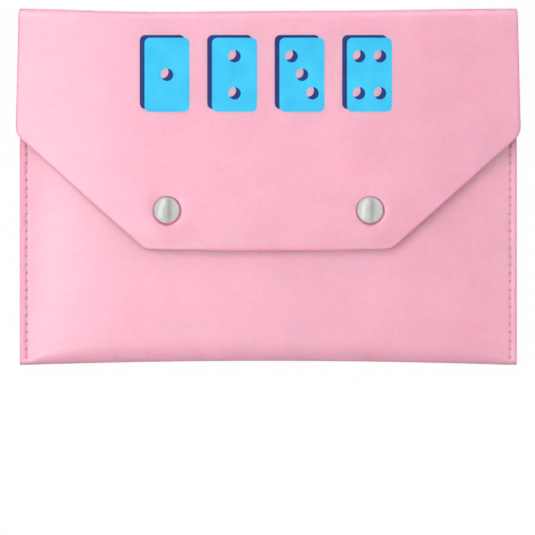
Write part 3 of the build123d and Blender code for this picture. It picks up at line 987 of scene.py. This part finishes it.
def coated_sheet():
    """Satin coated sheet with fine grain; cut edges deeper, partly as painted shade; painted shade in
    holes, grooves and cap creases.
    """
    n = Nodes(bpy.data.materials.new("coated_sheet"))
    cut = n.attribute("cut", "Vector")
    broad, fine = n.noise(cut, 60, 3), n.noise(cut, 420, 2)
    mottle = n.math("ADD", n.math("MULTIPLY", broad, 0.6), n.math("MULTIPLY", fine, 0.4))
    face = n.shades(mottle, 0.38, 0.62, sheet_dark, sheet_pale)
    # cut edges: their own deeper colour, darkened as painted shade; then painted shade in holes, grooves
    # and cap creases
    edge_wear_and_shade = n.math("MULTIPLY", n.attribute("edge"), n.span(n.noise(cut, 900), 0.3, 0.7, 0.55, 1))
    edged = n.blend(edge_wear_and_shade, face, tint(sheet_edge_and_shade))
    n.set(Base_Color=n.blend(n.attribute("pinch"), edged, tint(sheet_pinch)))
    grain = n.bump(n.pebbles(cut), 0.00006, 0.5)
    n.set(Normal=n.bump(n.noise(cut, 330, 3), 0.00012, 0.35, grain))
    n.set(Roughness=n.span(mottle, 0.35, 0.65, 0.36, 0.42), Specular_IOR_Level=1.0, IOR=1.56)
    n.set(Subsurface_Weight=0.8, Subsurface_Scale=0.005, Subsurface_Radius=(1.0, 0.25, 0.35))
    n.shader.subsurface_method = "BURLEY"
    return n.owner


def woven_lining():
    """Thin plain-woven lining."""
    n = Nodes(bpy.data.materials.new("woven_lining"))
    cut = n.attribute("cut", "Vector")
    turned = n.add("VectorRotate", {"Vector": cut, "Angle": math.pi / 2}, rotation_type="Z_AXIS")
    yarns = [n.add("TexWave", {"Vector": v, "Scale": 520, "Distortion": 0.6}, "Fac") for v in (cut, turned)]
    weave = n.math("ADD", *yarns)
    n.set(Base_Color=n.shades(weave, 0, 2, lining_dark, lining_pale))
    n.set(Normal=n.bump(weave, 0.00005, 0.6), Roughness=0.75, Sheen_Weight=0.25)
    return n.owner


def sewing_thread():
    """Tonal spun polyester."""
    n = Nodes(bpy.data.materials.new("sewing_thread"))
    fibre = n.noise(n.place(), 2600, 2)
    n.set(Base_Color=n.shades(fibre, 0.35, 0.65, thread_dark, thread_pale))
    n.set(Normal=n.bump(fibre, 0.00003, 0.5), Roughness=0.55, Sheen_Weight=0.4)
    return n.owner


def polished_nickel():
    """Polished plate with fine handling scratches."""
    n = Nodes(bpy.data.materials.new("polished_nickel"))
    place = n.place()
    slanted = {"Vector": place, "Scale": (1.0, 9.0, 1.0), "Rotation": (0.0, 0.0, 0.6)}
    scratch = n.noise(n.add("Mapping", slanted), 1500, 3, 0.7)
    n.set(Base_Color=n.shades(n.noise(place, 300, 2), 0.35, 0.65, nickel_dark, nickel_pale), Metallic=1.0)
    n.set(Roughness=n.span(scratch, 0.3, 0.7, 0.2, 0.26), Normal=n.bump(scratch, 0.000001, 0.2))
    return n.owner


def drawn_wire():
    """Bright spring wire with drawing lines."""
    n = Nodes(bpy.data.materials.new("drawn_wire"))
    drawn = n.add("Mapping", {"Vector": n.place(), "Scale": (1.0, 1.0, 12.0)})
    lines = n.noise(drawn, 1800, 2)
    n.set(Base_Color=tint(wire_grey), Metallic=1.0)
    n.set(Roughness=n.span(lines, 0.3, 0.7, 0.24, 0.38), Normal=n.bump(lines, 0.000005, 0.3))
    return n.owner


def printed_film(name, dark, pale):
    """Printed film that follows the leather grain under it."""
    n = Nodes(bpy.data.materials.new(name))
    place = n.place()
    mottle = n.noise(place, 90, 3)
    n.set(Base_Color=n.shades(mottle, 0.35, 0.65, dark, pale), Specular_IOR_Level=0.3)
    n.set(Roughness=n.span(mottle, 0.3, 0.7, 0.42, 0.5), Normal=n.bump(n.pebbles(place), 0.00005, 0.4))
    return n.owner


def dress_snaps(nickel, wire):
    """The snaps' own solids keep their shapes and get their metals."""
    for name, node in frame["nodes"].items():
        if "_snap_" in name:
            node.data.materials.clear()
            node.data.materials.append(wire if name.endswith("spring") else nickel)


# Floor, light and camera


def seen_directly(n):
    """1 for rays that show the background itself: those of the camera, mirrors and glass."""
    rays = n.add("LightPath").node.outputs
    mirrored_too = n.math("MAXIMUM", rays["Is Camera Ray"], rays["Is Glossy Ray"])
    return n.math("MAXIMUM", mirrored_too, rays["Is Transmission Ray"])


def plane(name, size, place, material):
    """A flat rectangle that isn't part of the pouch, in metres."""
    bpy.ops.mesh.primitive_plane_add(size=1, location=place)
    made = bpy.context.object
    made.name = name
    made.scale = (*size, 1)
    made.data.materials.append(material)
    return made


def floor():
    """A plain white floor that keeps a faint shadow."""
    n = Nodes(bpy.data.materials.new("white_floor"))
    plain = n.add("BsdfDiffuse", {"Color": tint(floor_grey)})
    white = n.add("Emission", {"Strength": floor_glow})
    shaded = n.add("BsdfDiffuse", {"Color": tint(floor_shade)})
    seen = n.add("AddShader", {0: white, 1: shaded})
    n.show(n.add("MixShader", {0: seen_directly(n), 1: plain, 2: seen}))
    plane("floor", floor_size, floor_place, n.owner)


def surroundings():
    """A white room, dimmer where it only lights the pouch."""
    n = Nodes(bpy.data.worlds.new("studio"))
    background = n.tree.nodes["Background"]
    n.feed(background, "Color", tint((1, 1, 1)))
    n.feed(background, "Strength", n.span(seen_directly(n), 0.0, 1.0, ambient, 1.0))
    bpy.context.scene.world = n.owner


def overhead_card():
    """A grey card above the camera, which the snaps mirror as a darker band."""
    n = Nodes(bpy.data.materials.new("grey_card"))
    n.show(n.add("Emission", {"Strength": card_glow}))
    made = plane("overhead_card", card_size, card_place, n.owner)
    made.visible_camera = made.visible_diffuse = made.visible_shadow = False


def matt_pieces():
    """The sheets, threads and print, which some lamps light without showing up in the snaps."""
    matt = bpy.data.collections.new("matt_pieces")
    for made in bpy.context.scene.objects:
        if made.type == "MESH" and made.name not in frame["nodes"]:
            matt.objects.link(made)
    return matt


def lamp(name, place, size, power, lit):
    """A soft lamp aimed at the pouch's middle, for the pieces in lit, or for all where that is None."""
    data = bpy.data.lights.new(name, "AREA")
    data.shape = "RECTANGLE"
    data.size, data.size_y = size
    data.energy = power
    made = linked(name, data)
    made.location = place
    made.rotation_mode = "QUATERNION"
    made.rotation_quaternion = Vector(place).to_track_quat("Z", "Y")
    made.visible_camera = False
    made.light_linking.receiver_collection = lit


def camera():
    """The photograph's camera, straight above the pouch."""
    data = bpy.data.cameras.new("photo")
    data.sensor_width = sensor_width
    data.lens = sensor_width * (camera_height - fold_height * MM) / picture_width
    data.clip_start, data.clip_end = 0.05, 50
    made = linked("photo", data)
    made.location = (camera_x, camera_y, camera_height)
    bpy.context.scene.camera = made


# The scene

bpy.context.scene.view_settings.view_transform = "Standard"

leather, cloth = coated_sheet(), woven_lining()
pocket_outer_sheet(leather)
flap_outer_sheet(leather)
pocket_lining_sheet(cloth)
flap_lining_sheet(cloth)
seam_threads(sewing_thread())
print_layers(printed_film("sky_film", sky_dark, sky_pale), printed_film("navy_film", navy_dark, navy_pale))
dress_snaps(polished_nickel(), drawn_wire())

matt = matt_pieces()
for name, (place, size, power, snaps_too) in lamps.items():
    lamp(name, place, size, power, None if snaps_too else matt)
floor()
surroundings()
overhead_card()
camera()
